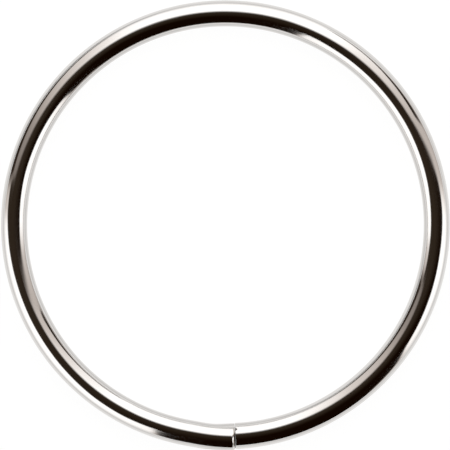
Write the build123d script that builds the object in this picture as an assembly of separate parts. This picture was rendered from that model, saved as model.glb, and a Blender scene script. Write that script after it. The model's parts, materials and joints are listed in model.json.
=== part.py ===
from build123d import *
from math import degrees
import os

# Split ring: one length of round plated steel wire, bent into a single turn until its cut ends meet.
# It lies flat. The origin is at the middle of the eye, on the surface that the ring rests on.
# +Z is up, and the split faces -Y. Lengths are in millimetres and angles in degrees.

# Wire and eye
inside_diameter = 45.0
wire_diameter = 3.0

# Split between the two cut ends, whose faces stand almost parallel
split_gap = 0.06

# End of the wire on the -X side, which a short flat in the bend throws slightly outwards
flat_length = 1.2
end_length = 4.3  # bent stretch from the flat to the split

# Edges of the cut ends
pressed_edge_radius = 0.3  # on the -X end, where the blade pressed the edge down
sheared_edge_radius = 0.05  # on the +X end, where the blade left it crisp

# Wire that runs past the split before the -X end is cut
overrun = 0.8

# Sizes that follow
wire_radius = wire_diameter / 2
bend_radius = inside_diameter / 2 + wire_radius
split_angle = -90
tip_angle = split_angle + degrees((split_gap / 2 + sheared_edge_radius) / bend_radius)
flat_angle = split_angle - degrees((flat_length + end_length) / bend_radius) + 360


def across_wire(centre, angle):
    """Plane across the wire at one angle of a bend. It faces along the wire, with its X axis down."""
    outward = Vector(1, 0, 0).rotate(Axis.Z, angle)
    along = Vector(0, 1, 0).rotate(Axis.Z, angle)
    return Plane(origin=centre + outward * bend_radius, x_dir=Vector(0, 0, -1), z_dir=along)


def bent_wire(centre, angle, turn):
    """Wire bent about an upright axis through this centre, from one angle on through a turn."""
    section = across_wire(centre, angle) * Circle(wire_radius)
    return revolve(section, axis=Axis(centre, Vector(0, 0, 1)), revolution_arc=turn)


def crisp_tip(across):
    """Straight tip of the +X end, only as long as its round edge, from the bend to the cut face."""
    edge = sheared_edge_radius
    sides = Polyline((edge, wire_radius - edge), (edge, 0), (0, 0), (0, wire_radius))
    corner = TangentArc((0, wire_radius), (edge, wire_radius - edge), tangent=(1, 0))
    lengthwise = Plane(origin=across.origin, x_dir=-across.z_dir, z_dir=-across.y_dir)
    return revolve(lengthwise * make_face(sides + corner), axis=Axis(across.origin, across.z_dir))


def whole_wire():
    """The wire from the +X cut face round to a short flat, and on to the -X cut face."""
    eye_centre = Vector(0, 0, wire_radius)
    tip = crisp_tip(across_wire(eye_centre, tip_angle))
    main_turn = bent_wire(eye_centre, tip_angle, flat_angle - tip_angle)
    at_flat = across_wire(eye_centre, flat_angle)
    flat = extrude(at_flat * Circle(wire_radius), amount=flat_length)
    end_centre = eye_centre + at_flat.z_dir * flat_length
    end = bent_wire(end_centre, flat_angle, degrees((end_length + overrun) / bend_radius))
    return tip + main_turn + flat + (end - offcut())


def offcut():
    """Block that takes away what runs past the split, from the -X cut face onwards."""
    size = 2 * (wire_diameter + overrun)
    block = Box(size, size, size, align=(Align.MIN, Align.CENTER, Align.CENTER))
    return Pos(-split_gap / 2, -bend_radius, wire_radius) * block


def with_pressed_edge(ring):
    """Round the edge of the cut face on the -X side of the split."""
    cut_face = ring.faces().filter_by(GeomType.PLANE).sort_by(Axis.X)[0]
    return fillet(cut_face.edges(), pressed_edge_radius)


split_ring = with_pressed_edge(whole_wire())
split_ring.label = "split_ring"

os.makedirs("parts", exist_ok=True)
export_step(split_ring, "parts/split_ring.step")
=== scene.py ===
# %% [markdown]
# # A split ring of bright-plated wire
#
# The object is one length of round steel wire, bent into a single turn and plated with bright nickel.
# Its two cut ends meet at a narrow split. It lies flat and is seen from straight above.
#
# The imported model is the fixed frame: it gives the ring's sizes and place, in metres, and nothing here
# moves or resizes it. This lesson bends a finer wire in the same place, gives it the plated finish,
# and builds the small light tent that such a mirror-bright wire needs around it.

# %% Load the frame
import json
import math

import bmesh
import bpy
from mathutils import Matrix, Vector


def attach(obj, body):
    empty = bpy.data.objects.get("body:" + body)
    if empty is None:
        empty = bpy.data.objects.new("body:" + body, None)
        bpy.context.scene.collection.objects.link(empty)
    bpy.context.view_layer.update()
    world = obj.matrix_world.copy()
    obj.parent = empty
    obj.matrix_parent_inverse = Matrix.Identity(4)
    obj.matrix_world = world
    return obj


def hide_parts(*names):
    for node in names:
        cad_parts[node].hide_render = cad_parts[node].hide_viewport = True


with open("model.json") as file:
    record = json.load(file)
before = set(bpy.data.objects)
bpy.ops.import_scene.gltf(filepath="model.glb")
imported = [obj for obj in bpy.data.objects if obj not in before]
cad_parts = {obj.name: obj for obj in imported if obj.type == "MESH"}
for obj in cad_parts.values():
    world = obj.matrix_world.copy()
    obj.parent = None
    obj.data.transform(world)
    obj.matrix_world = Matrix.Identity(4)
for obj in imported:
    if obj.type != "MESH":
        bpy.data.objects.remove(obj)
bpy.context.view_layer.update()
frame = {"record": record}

MM = 0.001

# %% [markdown]
# ## Sizes
#
# The wire's thickness and the clear eye come from the frame's record, so they follow the part. What
# the record doesn't hold is the split itself. Its gap, the short flat that throws one end outwards and
# the bent stretch after it are written here as the part has them.

# %% Read the ring's sizes
mount_sizes = {mount["name"]: mount["dims"] for mount in frame["record"]["mounts"]}
wire_radius = mount_sizes["strap_bar"]["r_mm"] * MM
bend_radius = mount_sizes["eye"]["r_mm"] * MM + wire_radius

split_gap = 0.06 * MM
flat_length = 1.2 * MM
end_length = 4.3 * MM

split_angle = math.radians(-90)
first_angle = split_angle + split_gap / 2 / bend_radius
flat_angle = split_angle - (flat_length + end_length) / bend_radius + math.tau
print(f"wire {2 * wire_radius / MM:.1f} mm, bent to {bend_radius / MM:.1f} mm at its middle")

# %% [markdown]
# ## Bending the wire
#
# The real wire is coiled round a bar and cut, so the mesh is made the same way: a round section is
# spun about the middle of the eye, pushed straight along the short flat, and spun again to the split.
# A curve with a bevel would also give a tube, but spinning keeps every section square to the wire, and
# the steps are short enough for a mirror finish to show no facets. Close to each cut the sections crowd
# together, because the edges of the cut are shaped there.

# %% Bend the wire
section_sides = 96
bend_step = 0.4 * MM
edge_steps_mm = (0.01, 0.01, 0.015, 0.025, 0.03, 0.03, 0.04, 0.06, 0.06, 0.04, 0.04, 0.06)
edge_steps = [step * MM for step in edge_steps_mm]
edge_reach = sum(edge_steps)


def carry_section(edges, centre, length, steps=1):
    """Carry a section on along the bend about this centre, and return the edges of its last place."""
    turn = length / bend_radius
    spun = bmesh.ops.spin(wire, geom=edges, cent=centre, axis=(0, 0, 1), angle=turn, steps=steps)
    return [item for item in spun["geom_last"] if isinstance(item, bmesh.types.BMEdge)]


def corners(edges):
    """The vertices of a section."""
    return list({vertex for edge in edges for vertex in edge.verts})


eye_centre = Vector((0, 0, wire_radius))
upright = Matrix.Rotation(math.radians(90), 4, "X")
on_bend = Matrix.Translation(eye_centre + Vector((bend_radius, 0, 0)))
first_place = Matrix.Rotation(first_angle, 4, "Z") @ on_bend @ upright

wire = bmesh.new()
bmesh.ops.create_circle(wire, segments=section_sides, radius=wire_radius, matrix=first_place)
first_rim = wire.edges[:]
section = first_rim
first_end = [(0.0, corners(section))]
for step in edge_steps:
    section = carry_section(section, eye_centre, step)
    first_end.append((first_end[-1][0] + step, corners(section)))

main_length = (flat_angle - first_angle) * bend_radius - edge_reach
section = carry_section(section, eye_centre, main_length, round(main_length / bend_step))

along_flat = Matrix.Rotation(flat_angle, 3, "Z") @ Vector((0, 1, 0))
pushed = bmesh.ops.extrude_edge_only(wire, edges=section)["geom"]
section = [item for item in pushed if isinstance(item, bmesh.types.BMEdge) and item.is_boundary]
bmesh.ops.translate(wire, verts=corners(section), vec=along_flat * flat_length)

end_centre = eye_centre + along_flat * flat_length
last_length = end_length - split_gap / 2
section = carry_section(
    section, end_centre, last_length - edge_reach, round((last_length - edge_reach) / bend_step)
)
last_end = [(edge_reach, corners(section))]
for step in reversed(edge_steps):
    section = carry_section(section, end_centre, step)
    last_end.append((last_end[-1][0] - step, corners(section)))
last_rim = section
print("sections along the wire:", len(wire.verts) // section_sides)

# %% [markdown]
# ## Cutting the ends
#
# A blade cut the coil into rings. It left the +X end crisp, and pressed the upper and outer edge of the
# -X end down to a narrow facet that catches the light, but not the side towards the eye. The part has
# plain round edges there, and this mesh adds what the eye can see.
#
# A bevel has one width all the way round, so the crowded sections near each cut are drawn in instead, by
# as much as the edge has dropped at that distance from the cut. The -X end is slanted first, because the
# flat in the bend turned it a little, and both cut faces are parallel.

# %% Cut the ends
sheared_radius = 0.025 * MM
pressed_length = 0.33 * MM
pressed_radius = 0.2 * MM
pressed_tilt = math.radians(28)
outer_tilt = math.radians(38)
pressed_from = math.radians(-30)
pressed_to = math.radians(0)
outer_from = math.radians(15)
outer_to = math.radians(40)


def fade_in(value, low, high):
    """Rise smoothly from 0 to 1 as the value goes from low to high."""
    share = min(max((value - low) / (high - low), 0), 1)
    return share * share * (3 - 2 * share)


def in_section(vertex, centre):
    """The middle of the section that a vertex lies in, and how far the vertex is across and above it."""
    outward = Vector((vertex.co.x, vertex.co.y, 0)) - Vector((centre.x, centre.y, 0))
    middle = centre + outward.normalized() * bend_radius
    return middle, outward.length - bend_radius, vertex.co.z - centre.z


def round_drop(distance, radius):
    """How far a round edge of this radius has dropped at this distance from the cut."""
    short = min(max(radius - distance, 0), radius)
    return radius - math.sqrt(radius * radius - short * short)


def shape_edge(end, centre, pressed_share):
    """Draw in the sections near a cut: to a crisp edge, or to a facet where the blade pressed."""
    for distance, vertices in end:
        crisp_drop = round_drop(distance, sheared_radius)
        for vertex in vertices:
            middle, across, height = in_section(vertex, centre)
            around = math.atan2(across, height)
            tilt = pressed_tilt + (outer_tilt - pressed_tilt) * fade_in(around, outer_from, outer_to)
            facet_drop = max(pressed_length - distance, 0) * math.tan(tilt)
            pressed_drop = facet_drop + round_drop(distance, pressed_radius)
            pressed = pressed_share * fade_in(around, pressed_from, pressed_to)
            drop = crisp_drop + (pressed_drop - crisp_drop) * pressed
            vertex.co += (middle - vertex.co).normalized() * drop


cut_point = Vector((-split_gap / 2, -bend_radius, wire_radius))
cut_normal = Vector((1, 0, 0))
along_end = Matrix.Rotation(flat_angle + last_length / bend_radius, 3, "Z") @ Vector((0, 1, 0))
for distance, vertices in last_end:
    for vertex in vertices:
        before_cut = (cut_point - vertex.co).dot(cut_normal) / along_end.dot(cut_normal)
        vertex.co += along_end * (before_cut - distance)

shape_edge(first_end, eye_centre, pressed_share=0)
shape_edge(last_end, end_centre, pressed_share=1)
print(f"split {split_gap / MM:.2f} mm, edges {sheared_radius / MM:.2f} and {pressed_length / MM:.2f} mm")

# %% [markdown]
# ## Closing the ends
#
# Each open rim is filled with a flat cut face, and a narrow land inside the rim keeps the shading of the
# round wire off that face. The cut faces are duller than the drawn wire. So is the upper side of the
# pressed edge, right beside the cut, where the blade tore it. All of these get the second finish.

# %% Close the ends
edge_land = 0.04 * MM
torn_inside = 0.2 * MM
torn_outside = 0.25 * MM
torn_height = 0.95 * MM

for rim in (first_rim, last_rim):
    cut_face = bmesh.ops.edgeloop_fill(wire, edges=rim)["faces"][0]
    bmesh.ops.inset_region(wire, faces=[cut_face], thickness=edge_land, use_even_offset=True)
    cut_face.material_index = 1

torn = set()
for distance, vertices in last_end:
    for vertex in vertices:
        middle, across, height = in_section(vertex, end_centre)
        torn_length = torn_outside if across > 0 else torn_inside
        if distance < torn_length and height > torn_height:
            torn.add(vertex)
for face in wire.faces:
    if torn.issuperset(face.verts):
        face.material_index = 1
print("faces with the second finish:", sum(face.material_index for face in wire.faces))

# %% [markdown]
# ## Marks of the blade
#
# Two small marks make the split look cut and not drawn. On the -X side the blade squeezed the wire, so a
# low lip stands out towards the eye and dies away along the wire. On the +X side, a nick was left in the
# upper inner edge. Both are pushed straight into the mesh, each fading out with distance.

# %% Press in the marks of the blade
lip_height = 0.19 * MM
lip_length = 2.8 * MM
nick_depth = 0.3 * MM
nick_reach = 0.14 * MM
nick_length = 0.7 * MM
nick_across = -bend_radius + 0.83 * MM
nick_height = wire_radius + 1.25 * MM

for vertex in wire.verts:
    if -lip_length < vertex.co.x < split_gap / 2 and vertex.co.y < 0:
        middle, across, height = in_section(vertex, end_centre)
        steepness = (across * across - height * height) / wire_radius**2
        if across < 0 and steepness > 0:
            push = lip_height * steepness**2 * fade_in(vertex.co.x, -lip_length, 0)
            vertex.co += (end_centre - middle).normalized() * push
    if 0 < vertex.co.x < nick_length and vertex.co.y < 0:
        beside = math.hypot(vertex.co.y - nick_across, vertex.co.z - nick_height)
        depth = nick_depth * math.exp(-((beside / nick_reach) ** 2))
        vertex.co.x += depth * (1 - vertex.co.x / nick_length)
print(f"lip {lip_height / MM:.2f} mm high, nick {nick_depth / MM:.2f} mm deep")

# %% [markdown]
# ## One object
#
# The real ring is one piece, so its mesh becomes one object. It takes the place of the imported ring and
# rides on the same body. Spinning leaves the faces in an order that changes from run to run, so they are
# sorted along a slanting line, and every run gives the same mesh.

# %% Make the ring an object
sort_line = Vector((0.37, 0.61, 0.83))


def make_object(name, shape, smooth=True):
    """Turn a finished bmesh into an object at the origin, with its faces sorted and pointing outwards."""
    bmesh.ops.recalc_face_normals(shape, faces=shape.faces[:])
    shape.verts.sort(key=lambda vertex: vertex.co.dot(sort_line))
    shape.faces.sort(key=lambda face: face.calc_center_median().dot(sort_line))
    for face in shape.faces:
        face.smooth = smooth
    mesh = bpy.data.meshes.new(name)
    shape.to_mesh(mesh)
    shape.free()
    made = bpy.data.objects.new(name, mesh)
    bpy.context.scene.collection.objects.link(made)
    return made


ring = make_object("plated_split_ring", wire)
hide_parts("split_ring")
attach(ring, "root")
print(ring.name, "has", len(ring.data.polygons), "faces")

# %% [markdown]
# ## Tools for the finishes
#
# Colours are written as the eye and the photo give them, in sRGB, and one function turns them into the
# linear values that the shader works in. One more adds a node with its settings and its links.

# %% Tools for the finishes


def linear(hex_colour):
    """An sRGB hex colour as linear red, green, blue and a full alpha."""
    channels = [int(hex_colour[place : place + 2], 16) / 255 for place in (0, 2, 4)]
    return [c / 12.92 if c <= 0.04045 else ((c + 0.055) / 1.055) ** 2.4 for c in channels] + [1.0]


def add_node(tree, kind, inputs=None, **settings):
    """Add a node with its settings. An input takes a value, or the output of another node."""
    node = tree.nodes.new(kind)
    for name, value in settings.items():
        setattr(node, name, value)
    for socket, value in (inputs or {}).items():
        if isinstance(value, bpy.types.NodeSocket):
            tree.links.new(value, node.inputs[socket])
        else:
            node.inputs[socket].default_value = value
    return node


def empty_tree(block):
    """The node tree of a new material or world, with nothing in it."""
    block.use_nodes = True
    block.node_tree.nodes.clear()
    return block.node_tree


print(f"middle grey 808080 is {linear('808080')[0]:.3f} in linear light")

# %% [markdown]
# ## Along the wire
#
# Wire is pulled through a die, which leaves very fine lines along it. The patterns of the finish have to
# run the same way, so the nodes work out how far round the ring a point lies, and where it is in the
# section of the wire.

# %% Measure along the wire


def wire_coordinates(tree, stretch):
    """Place along the wire, across it and up, in metres, with each divided by the sizes in stretch."""
    place = add_node(tree, "ShaderNodeTexCoord").outputs["Object"]
    split = add_node(tree, "ShaderNodeSeparateXYZ", {0: place})
    x, y, z = split.outputs
    turn = add_node(tree, "ShaderNodeMath", {0: x, 1: y}, operation="ARCTAN2").outputs[0]
    along = add_node(tree, "ShaderNodeMath", {0: turn, 1: bend_radius}, operation="MULTIPLY").outputs[0]
    level = add_node(tree, "ShaderNodeCombineXYZ", {"X": x, "Y": y}).outputs[0]
    reach = add_node(tree, "ShaderNodeVectorMath", {0: level}, operation="LENGTH").outputs["Value"]
    joined = add_node(tree, "ShaderNodeCombineXYZ", {"X": along, "Y": reach, "Z": z}).outputs[0]
    return add_node(tree, "ShaderNodeVectorMath", {0: joined, 1: stretch}, operation="DIVIDE").outputs[0]


print(f"once round is {math.tau * bend_radius / MM:.1f} mm of wire")

# %% [markdown]
# ## Bright nickel
#
# The plating bath covers the drawn wire with a thin bright layer that follows every line and adds a
# faint ripple of its own. So the eye sees a slightly warm mirror, a little streaky along the wire and
# never quite still.
#
# Real drawing lines are a few hundredths of a millimetre wide. They are drawn coarser here, so that
# they are wider than a pixel. The reflections on the inner half of the wire lie a little further round
# than those on the outer half, as if the coil's climb were still in the wire, so the surface leans
# along the wire by less than a degree.

# %% Mix bright nickel
coil_lean = math.radians(-0.85)
line_detail = 3.0
line_mix = 0.6
ripple_detail = 1.0
polish_from = 0.35
polish_to = 0.75


def nickel_plate(name, pale, dull, draw_line, ripple, gloss):
    """Bright nickel: two colours, length, width and depth of two patterns, and two roughnesses."""
    material = bpy.data.materials.new(name)
    tree = empty_tree(material)
    line_length, line_width, line_depth = draw_line
    lines_at = wire_coordinates(tree, (line_length, line_width, line_width))
    lines = add_node(
        tree,
        "ShaderNodeTexNoise",
        {"Vector": lines_at, "Scale": 1.0, "Detail": line_detail, "Roughness": line_mix},
    ).outputs[0]
    ripple_length, ripple_width, ripple_depth = ripple
    ripple_at = wire_coordinates(tree, (ripple_length, ripple_width, ripple_width))
    ripples = add_node(
        tree, "ShaderNodeTexNoise", {"Vector": ripple_at, "Scale": 1.0, "Detail": ripple_detail}
    ).outputs[0]
    colour = add_node(
        tree,
        "ShaderNodeMix",
        {"Factor": ripples, "A": linear(dull), "B": linear(pale)},
        data_type="RGBA",
    )
    smooth, rough = gloss
    roughness = add_node(
        tree,
        "ShaderNodeMapRange",
        {
            "Value": lines,
            "From Min": polish_from,
            "From Max": polish_to,
            "To Min": smooth,
            "To Max": rough,
        },
    ).outputs[0]
    along = add_node(tree, "ShaderNodeSeparateXYZ", {0: wire_coordinates(tree, (1, 1, 1))}).outputs["X"]
    leaning = add_node(tree, "ShaderNodeBump", {"Height": along, "Distance": math.tan(coil_lean)})
    rippled = add_node(
        tree,
        "ShaderNodeBump",
        {"Height": ripples, "Distance": ripple_depth, "Normal": leaning.outputs[0]},
    )
    lined = add_node(
        tree,
        "ShaderNodeBump",
        {"Height": lines, "Distance": line_depth, "Normal": rippled.outputs[0]},
    )
    metal = add_node(
        tree,
        "ShaderNodeBsdfPrincipled",
        {
            "Base Color": colour.outputs["Result"],
            "Metallic": 1.0,
            "Roughness": roughness,
            "Normal": lined.outputs[0],
        },
    )
    add_node(tree, "ShaderNodeOutputMaterial", {"Surface": metal.outputs[0]})
    return material


print(f"surface leans {math.degrees(coil_lean):.2f} degrees along the wire")

# %% [markdown]
# ## Plating the ring
#
# The round of the wire is bright. The cut faces and the torn edge were sheared before they were plated,
# so the same nickel looks rougher and duller there, with short tear marks in place of drawing lines.

# %% Plate the ring
bright_wire = nickel_plate(
    "bright_nickel_on_drawn_wire",
    pale="D6D4D2",
    dull="CECBC8",
    draw_line=(7 * MM, 0.14 * MM, 0.0006 * MM),
    ripple=(2.6 * MM, 1.1 * MM, 0.004 * MM),
    gloss=(0.08, 0.13),
)
sheared_wire = nickel_plate(
    "bright_nickel_on_sheared_ends",
    pale="A8A29A",
    dull="857F78",
    draw_line=(0.05 * MM, 0.08 * MM, 0.006 * MM),
    ripple=(0.3 * MM, 0.5 * MM, 0.01 * MM),
    gloss=(0.25, 0.45),
)
ring.data.materials.append(bright_wire)
ring.data.materials.append(sheared_wire)
print("finishes:", [material.name for material in ring.data.materials])

# %% [markdown]
# ## Floor
#
# The ring lies on a plain white sheet, wide enough to reach past the edge of every view. It is no part of
# the ring.

# %% Lay the floor
floor_radius = 900 * MM
floor_sides = 96
floor_shape = bmesh.new()
bmesh.ops.create_circle(floor_shape, cap_ends=True, segments=floor_sides, radius=floor_radius)
floor = make_object("white_sheet", floor_shape, smooth=False)
print(f"floor {2 * floor_radius / MM:.0f} mm across")

# %% [markdown]
# ## Painted shade under the wire
#
# Hardly any light reaches the sheet right under the wire, so the sheet's own glow is turned down there: a
# painted shade. It shows through the split, and in low views, where the ring would seem to float without
# it. It is soft, and lies a little to the outside.

# %% Paint the shade on the sheet under the wire
shade_from = 0.4 * MM
shade_to = 1.15 * MM
shade_beside = 0.35 * MM
shade_level = 0.05

white_sheet = bpy.data.materials.new("matt_white_sheet")
tree = empty_tree(white_sheet)
place = add_node(tree, "ShaderNodeTexCoord").outputs["Object"]
reach = add_node(tree, "ShaderNodeVectorMath", {0: place}, operation="LENGTH").outputs["Value"]
from_shade = add_node(
    tree, "ShaderNodeMath", {0: reach, 1: bend_radius + shade_beside}, operation="SUBTRACT"
).outputs[0]
from_shade = add_node(tree, "ShaderNodeMath", {0: from_shade}, operation="ABSOLUTE").outputs[0]
# painted shade: the sheet's glow drops to shade_level right under the wire
shade = add_node(
    tree,
    "ShaderNodeMapRange",
    {"Value": from_shade, "From Min": shade_from, "From Max": shade_to, "To Min": shade_level},
    interpolation_type="SMOOTHSTEP",
).outputs[0]
print(f"shade up to {(shade_beside + shade_to) / MM:.2f} mm outside the middle of the wire")

# %% [markdown]
# ## Painted shadow on the sheet in the wire's mirror
#
# Near its rims the wire mirrors the sheet beside it, and a thin grey line shows there, as faint shadows
# of the wire would give. The camera can't see them, because the sheet itself is burnt out to white. So a
# soft grey line of painted shadow is put into the sheet's glow, and only the mirror shows it. The inner
# and the outer rim are seen at a different slant, so the line has a place of its own on each side of the
# wire. Away from the light, to the north-west, the painted shadow is much darker and lies farther off.

# %% Paint the shadow line that the mirror shows
line_inside = 6.5 * MM
line_outside = 13 * MM
line_reach = 0.7
shadow_line_level = 0.88
shadow_direction = (-0.71, 0.71, 0)
shadow_spread = math.cos(math.radians(36))
shadow_place = 20 * MM
shadow_level = 0.0
mirrored_level = 1.15

past_wire = add_node(tree, "ShaderNodeMath", {0: reach, 1: bend_radius}, operation="SUBTRACT").outputs[0]
from_wire = add_node(tree, "ShaderNodeMath", {0: past_wire}, operation="ABSOLUTE").outputs[0]
outward = add_node(tree, "ShaderNodeVectorMath", {0: place}, operation="NORMALIZE").outputs[0]
north_west = add_node(
    tree, "ShaderNodeVectorMath", {0: outward, 1: shadow_direction}, operation="DOT_PRODUCT"
).outputs["Value"]
side = add_node(tree, "ShaderNodeMath", {0: past_wire}, operation="SIGN").outputs[0]
away = add_node(tree, "ShaderNodeMath", {0: north_west, 1: side}, operation="MULTIPLY").outputs[0]
# painted shadow: the sheet's glow darkens along this line, most of all to the north-west
shadow_line_white = add_node(
    tree,
    "ShaderNodeMapRange",
    {"Value": away, "From Min": shadow_spread, "To Min": shadow_line_level, "To Max": shadow_level},
    interpolation_type="SMOOTHSTEP",
).outputs[0]
line_place = add_node(
    tree,
    "ShaderNodeMapRange",
    {"Value": side, "From Min": -1.0, "To Min": line_inside, "To Max": line_outside},
).outputs[0]
line_place = add_node(
    tree,
    "ShaderNodeMapRange",
    {"Value": away, "From Min": shadow_spread, "To Min": line_place, "To Max": shadow_place},
    interpolation_type="SMOOTHSTEP",
).outputs[0]
to_line = add_node(tree, "ShaderNodeMath", {0: from_wire, 1: line_place}, operation="DIVIDE").outputs[0]
off_line = add_node(tree, "ShaderNodeMath", {0: to_line, 1: 1.0}, operation="SUBTRACT").outputs[0]
off_line = add_node(tree, "ShaderNodeMath", {0: off_line}, operation="ABSOLUTE").outputs[0]
mirrored = add_node(
    tree,
    "ShaderNodeMapRange",
    {"Value": off_line, "From Max": line_reach, "To Min": shadow_line_white, "To Max": mirrored_level},
    interpolation_type="SMOOTHSTEP",
).outputs[0]
print(f"line {line_inside / MM:.1f} mm inside and {line_outside / MM:.1f} mm outside the wire")

# %% [markdown]
# ## White of the sheet
#
# A white that is only lit would need lamps that burn the metal out, so most of the sheet's white is its
# own, for the camera and for the mirror of the wire alike. The rest is a pale matt surface under the same
# light as the ring, and that part keeps the ring's soft shadow. So the eye sees clean white paper.

# %% Mix the white of the sheet
shadow_share = 0.1
seen_level = 1.06

rays = add_node(tree, "ShaderNodeLightPath").outputs
seen = add_node(
    tree, "ShaderNodeMath", {0: rays["Is Camera Ray"], 1: rays["Is Glossy Ray"]}, operation="MAXIMUM"
).outputs[0]
seen = add_node(
    tree, "ShaderNodeMath", {0: seen, 1: rays["Is Transmission Ray"]}, operation="MAXIMUM"
).outputs[0]
own_white = add_node(
    tree, "ShaderNodeMath", {0: seen, 1: 1 - shadow_share}, operation="MULTIPLY"
).outputs[0]
white = add_node(
    tree,
    "ShaderNodeMapRange",
    {"Value": rays["Is Camera Ray"], "To Min": mirrored, "To Max": seen_level},
).outputs[0]
# the painted shade under the wire, and for the mirror the painted shadow line, dim the sheet's glow here
level = add_node(tree, "ShaderNodeMath", {0: white, 1: shade}, operation="MULTIPLY").outputs[0]
glow = add_node(tree, "ShaderNodeEmission", {"Color": linear("FFFFFF"), "Strength": level}).outputs[0]
matt = add_node(tree, "ShaderNodeBsdfDiffuse", {"Color": linear("F7F6F4")}).outputs[0]
mixed = add_node(tree, "ShaderNodeMixShader", {0: own_white, 1: matt, 2: glow}).outputs[0]
add_node(tree, "ShaderNodeOutputMaterial", {"Surface": mixed})
floor.data.materials.append(white_sheet)
print(f"the sheet's own white is {1 - shadow_share:.0%}, and {shadow_share:.0%} is lit")

# %% [markdown]
# ## Light tent
#
# A mirror-bright wire looks like what stands around it. Here that is a small tent of white cloth, lit
# from outside: a big curved sheet to the north that leans over almost to the top, a card to the east and
# one to the west, a dull corner between the sheets, and an open front and top where a dim room shows.
# The table goes round the compass, clockwise from north. It gives where the cloth begins and ends, as
# angles from straight up, how soft its top edge is, and how bright it glows there.

# %% Write down the tent's cloth
to_floor = 96
sheet_west_end = -75
sheet_east_end = 62.5
tent_cloth = (
    # compass, top edge, bottom edge, softness of the top edge, glow
    (-161.5, to_floor, to_floor, 3, 0.0),  # open front
    (-159, 40, to_floor, 3, 1.6),  # west card
    (-151, 48, to_floor, 4, 1.7),
    (-140, 49, to_floor, 4, 1.75),
    (-122, 44, to_floor, 4, 1.75),
    (-104, 47, to_floor, 4, 1.75),
    (-89, 57, to_floor, 4, 1.7),
    (-84.5, 60, to_floor, 4, 1.0),
    (-79, 61, to_floor, 4, 0.78),
    (-77, 61, to_floor, 4, 0.2),
    (sheet_west_end, 35, 62, 9, 0.3),  # north sheet, from its west end
    (-63, 28, 68, 9, 0.42),
    (-48, 24, 77, 9, 0.84),
    (-38, 23, 83, 9, 1.1),
    (-26, 23, 90, 9, 1.6),
    (-18, 22, to_floor, 9, 1.75),
    (23, 17, to_floor, 9, 1.75),
    (31, 16, 79, 9, 1.75),
    (41, 16, 76, 9, 1.4),
    (54, 16, 64, 9, 0.95),
    (sheet_east_end, 16, 57, 9, 0.8),
    (65, 20, to_floor, 13, 0.74),  # dull corner
    (73, 38, to_floor, 23, 0.8),
    (80, 50, to_floor, 10, 0.85),
    (85, 52, to_floor, 4, 1.4),
    (89, 51, to_floor, 4, 1.7),  # east card
    (101, 43, to_floor, 4, 1.75),
    (117, 50, to_floor, 4, 1.75),
    (125.5, 55, to_floor, 4, 1.5),
    (130, 83, to_floor, 5, 0.7),
    (138, 90, to_floor, 5, 0.5),
    (141, to_floor, to_floor, 4, 0.0),  # open front
)
brightest = max(row[-1] for row in tent_cloth)
print("tent cloth bearings:", len(tent_cloth))

# %% [markdown]
# ## Dome for the cloth
#
# One half sphere carries all of that as glowing cloth. It is so wide that both sides of the ring see
# nearly the same tent. It is turned a little, with the camera, so that north is the top of the picture,
# and the camera looks through it.

# %% Put up the dome
photo_turn = math.radians(-2.65)
tent_radius = 500 * MM
dome_sides = 64
dome_rings = 32

tent_shape = bmesh.new()
bmesh.ops.create_uvsphere(
    tent_shape, u_segments=dome_sides, v_segments=dome_rings, radius=tent_radius
)
bmesh.ops.bisect_plane(
    tent_shape,
    geom=tent_shape.verts[:] + tent_shape.edges[:] + tent_shape.faces[:],
    plane_co=(0, 0, 0),
    plane_no=(0, 0, 1),
    clear_inner=True,
)
tent = make_object("light_tent", tent_shape)
tent.rotation_euler.z = photo_turn
tent.visible_camera = False
print(f"dome {2 * tent_radius / MM:.0f} mm across")

# %% [markdown]
# ## Places on the dome
#
# The cloth is cut by compass bearing and by the angle from straight up. A colour ramp round the compass
# holds the table, because it runs smoothly from one bearing to the next: red and green are the two edges,
# blue is the glow, and alpha is the softness.

# %% Find the cloth's edges
cloth = bpy.data.materials.new("backlit_white_cloth")
tree = empty_tree(cloth)
place = add_node(tree, "ShaderNodeTexCoord").outputs["Object"]
direction = add_node(tree, "ShaderNodeVectorMath", {0: place}, operation="NORMALIZE").outputs[0]
east, north, up = add_node(tree, "ShaderNodeSeparateXYZ", {0: direction}).outputs
compass = add_node(tree, "ShaderNodeMath", {0: east, 1: north}, operation="ARCTAN2").outputs[0]
round_share = add_node(
    tree, "ShaderNodeMapRange", {"Value": compass, "From Min": -math.pi, "From Max": math.pi}
).outputs[0]
from_up = add_node(tree, "ShaderNodeMath", {0: up}, operation="ARCCOSINE").outputs[0]
from_up_share = add_node(
    tree, "ShaderNodeMath", {0: from_up, 1: math.radians(to_floor)}, operation="DIVIDE"
).outputs[0]

cut = add_node(tree, "ShaderNodeValToRGB", {"Fac": round_share})
stops = cut.color_ramp.elements
while len(stops) < len(tent_cloth):
    stops.new(0.5)
for stop, (bearing, top, bottom, softness, glow_there) in zip(stops, tent_cloth):
    stop.position = (bearing + 180) / 360
    stop.color = (top / to_floor, bottom / to_floor, glow_there / brightest, softness / to_floor)
top_edge, bottom_edge, glow_share = add_node(
    tree, "ShaderNodeSeparateColor", {0: cut.outputs["Color"]}
).outputs
print("ramp stops:", len(stops))

# %% [markdown]
# ## Cutting out the cloth
#
# The cloth starts at its top edge. Under both ends of the north sheet a slit is left open, where the
# sheet's lower corners curl up, and the slit reaches lower in the west than in the east.

# %% Cut out the cloth
bottom_softness = 3
slit_end_west = 96
slit_end_east = 82

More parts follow.
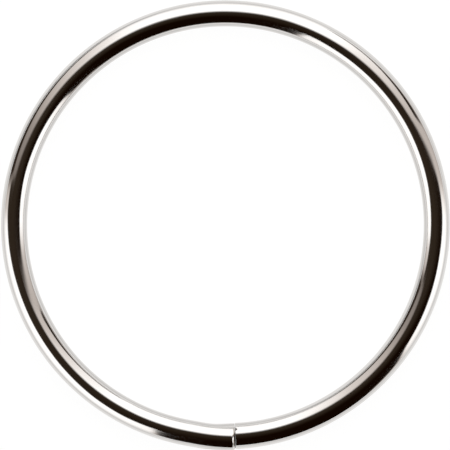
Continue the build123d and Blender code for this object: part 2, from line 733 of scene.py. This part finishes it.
crisp = bottom_softness / to_floor
slit_end = add_node(
    tree,
    "ShaderNodeMapRange",
    {
        "Value": compass,
        "From Min": math.radians(sheet_west_end),
        "From Max": math.radians(sheet_east_end),
        "To Min": slit_end_west / to_floor,
        "To Max": slit_end_east / to_floor,
    },
).outputs[0]
below = []
for edge, softness in ((top_edge, cut.outputs["Alpha"]), (bottom_edge, crisp), (slit_end, crisp)):
    before = add_node(tree, "ShaderNodeMath", {0: edge, 1: softness}, operation="SUBTRACT").outputs[0]
    after = add_node(tree, "ShaderNodeMath", {0: edge, 1: softness}, operation="ADD").outputs[0]
    below.append(
        add_node(
            tree,
            "ShaderNodeMapRange",
            {"Value": from_up_share, "From Min": before, "From Max": after},
            interpolation_type="SMOOTHSTEP",
        ).outputs[0]
    )
in_slit = add_node(tree, "ShaderNodeMath", {0: below[1], 1: below[2]}, operation="SUBTRACT").outputs[0]
covered = add_node(
    tree, "ShaderNodeMath", {0: below[0], 1: in_slit}, operation="SUBTRACT", use_clamp=True
).outputs[0]
print(f"slit down to {slit_end_west} degrees in the west and {slit_end_east} in the east")

# %% [markdown]
# ## Glow of the cloth and the dim room
#
# The lamps stand high behind the cloth, so it is dimmer near the floor, and where it is dim it also looks
# a little warmer. The room that shows past it is a dim brown, darker to the south-east. In the wire these
# give the eye its white streaks with soft ends, and the dark band between them.

# %% Light the cloth
fade_from = math.radians(68)
fade_to = math.radians(100)
fade_level = 0.68
room_pale_side = (-0.6, 0.8, 0)
room_dark_at = -0.42
room_pale_at = 0.1

glow_level = add_node(
    tree, "ShaderNodeMath", {0: glow_share, 1: brightest}, operation="MULTIPLY"
).outputs[0]
low_fade = add_node(
    tree,
    "ShaderNodeMapRange",
    {"Value": from_up, "From Min": fade_from, "From Max": fade_to, "To Min": 1.0, "To Max": fade_level},
    interpolation_type="SMOOTHSTEP",
).outputs[0]
glow_level = add_node(
    tree, "ShaderNodeMath", {0: glow_level, 1: low_fade}, operation="MULTIPLY"
).outputs[0]
cloth_tint = add_node(
    tree,
    "ShaderNodeMix",
    {"Factor": glow_share, "A": linear("FFECDF"), "B": linear("FFFFFF")},
    data_type="RGBA",
).outputs["Result"]
lit_cloth = add_node(tree, "ShaderNodeEmission", {"Color": cloth_tint, "Strength": glow_level}).outputs[0]
room_side = add_node(
    tree, "ShaderNodeVectorMath", {0: direction, 1: room_pale_side}, operation="DOT_PRODUCT"
).outputs["Value"]
room_share = add_node(
    tree, "ShaderNodeMapRange", {"Value": room_side, "From Min": room_dark_at, "From Max": room_pale_at}
).outputs[0]
room_colour = add_node(
    tree,
    "ShaderNodeMix",
    {"Factor": room_share, "A": linear("150700"), "B": linear("372D23")},
    data_type="RGBA",
).outputs["Result"]
dim_room = add_node(tree, "ShaderNodeEmission", {"Color": room_colour, "Strength": 1.0}).outputs[0]
mixed = add_node(tree, "ShaderNodeMixShader", {0: covered, 1: dim_room, 2: lit_cloth}).outputs[0]
add_node(tree, "ShaderNodeOutputMaterial", {"Surface": mixed})
tent.data.materials.append(cloth)
print(f"cloth glows up to {brightest}")

# %% [markdown]
# ## White surroundings
#
# Outside the tent everything is plain white, so that a low view of the ring has the same clean background
# as the view from above.

# %% Whiten the surroundings
world = bpy.data.worlds.new("white_room")
tree = empty_tree(world)
background = add_node(tree, "ShaderNodeBackground", {"Color": linear("FFFFFF"), "Strength": 1.0})
add_node(tree, "ShaderNodeOutputWorld", {"Surface": background.outputs[0]})
bpy.context.scene.world = world
print("world:", world.name)

# %% [markdown]
# ## Camera
#
# The camera looks straight down from far above, about twenty times the ring's radius, so that the
# outside of the wire shows almost as much as the inside. It is turned a little about its own line of
# sight, because the split lies just to the right of the bottom of the picture, and it is aimed a hair
# beside the middle of the eye, as the picture is framed.

# %% Set up the camera
image_pixels = 450
ring_middle_pixels = 211.4
frame_width = image_pixels * bend_radius / ring_middle_pixels
eye_beside_pixels = 0.45
eye_above_pixels = 0.22
camera_distance = 21 * bend_radius

camera_data = bpy.data.cameras.new("camera")
camera = bpy.data.objects.new("camera", camera_data)
bpy.context.scene.collection.objects.link(camera)
bpy.context.scene.camera = camera
camera_data.lens = camera_data.sensor_width * camera_distance / frame_width
beside = Vector((eye_beside_pixels, eye_above_pixels, 0)) * (frame_width / image_pixels)
aim = eye_centre - Matrix.Rotation(photo_turn, 3, "Z") @ beside
camera.location = aim + Vector((0, 0, camera_distance))
camera.rotation_euler.z = photo_turn
bpy.context.scene.view_settings.view_transform = "Standard"
print(f"lens {camera_data.lens:.0f} mm at {camera_distance / MM:.0f} mm")
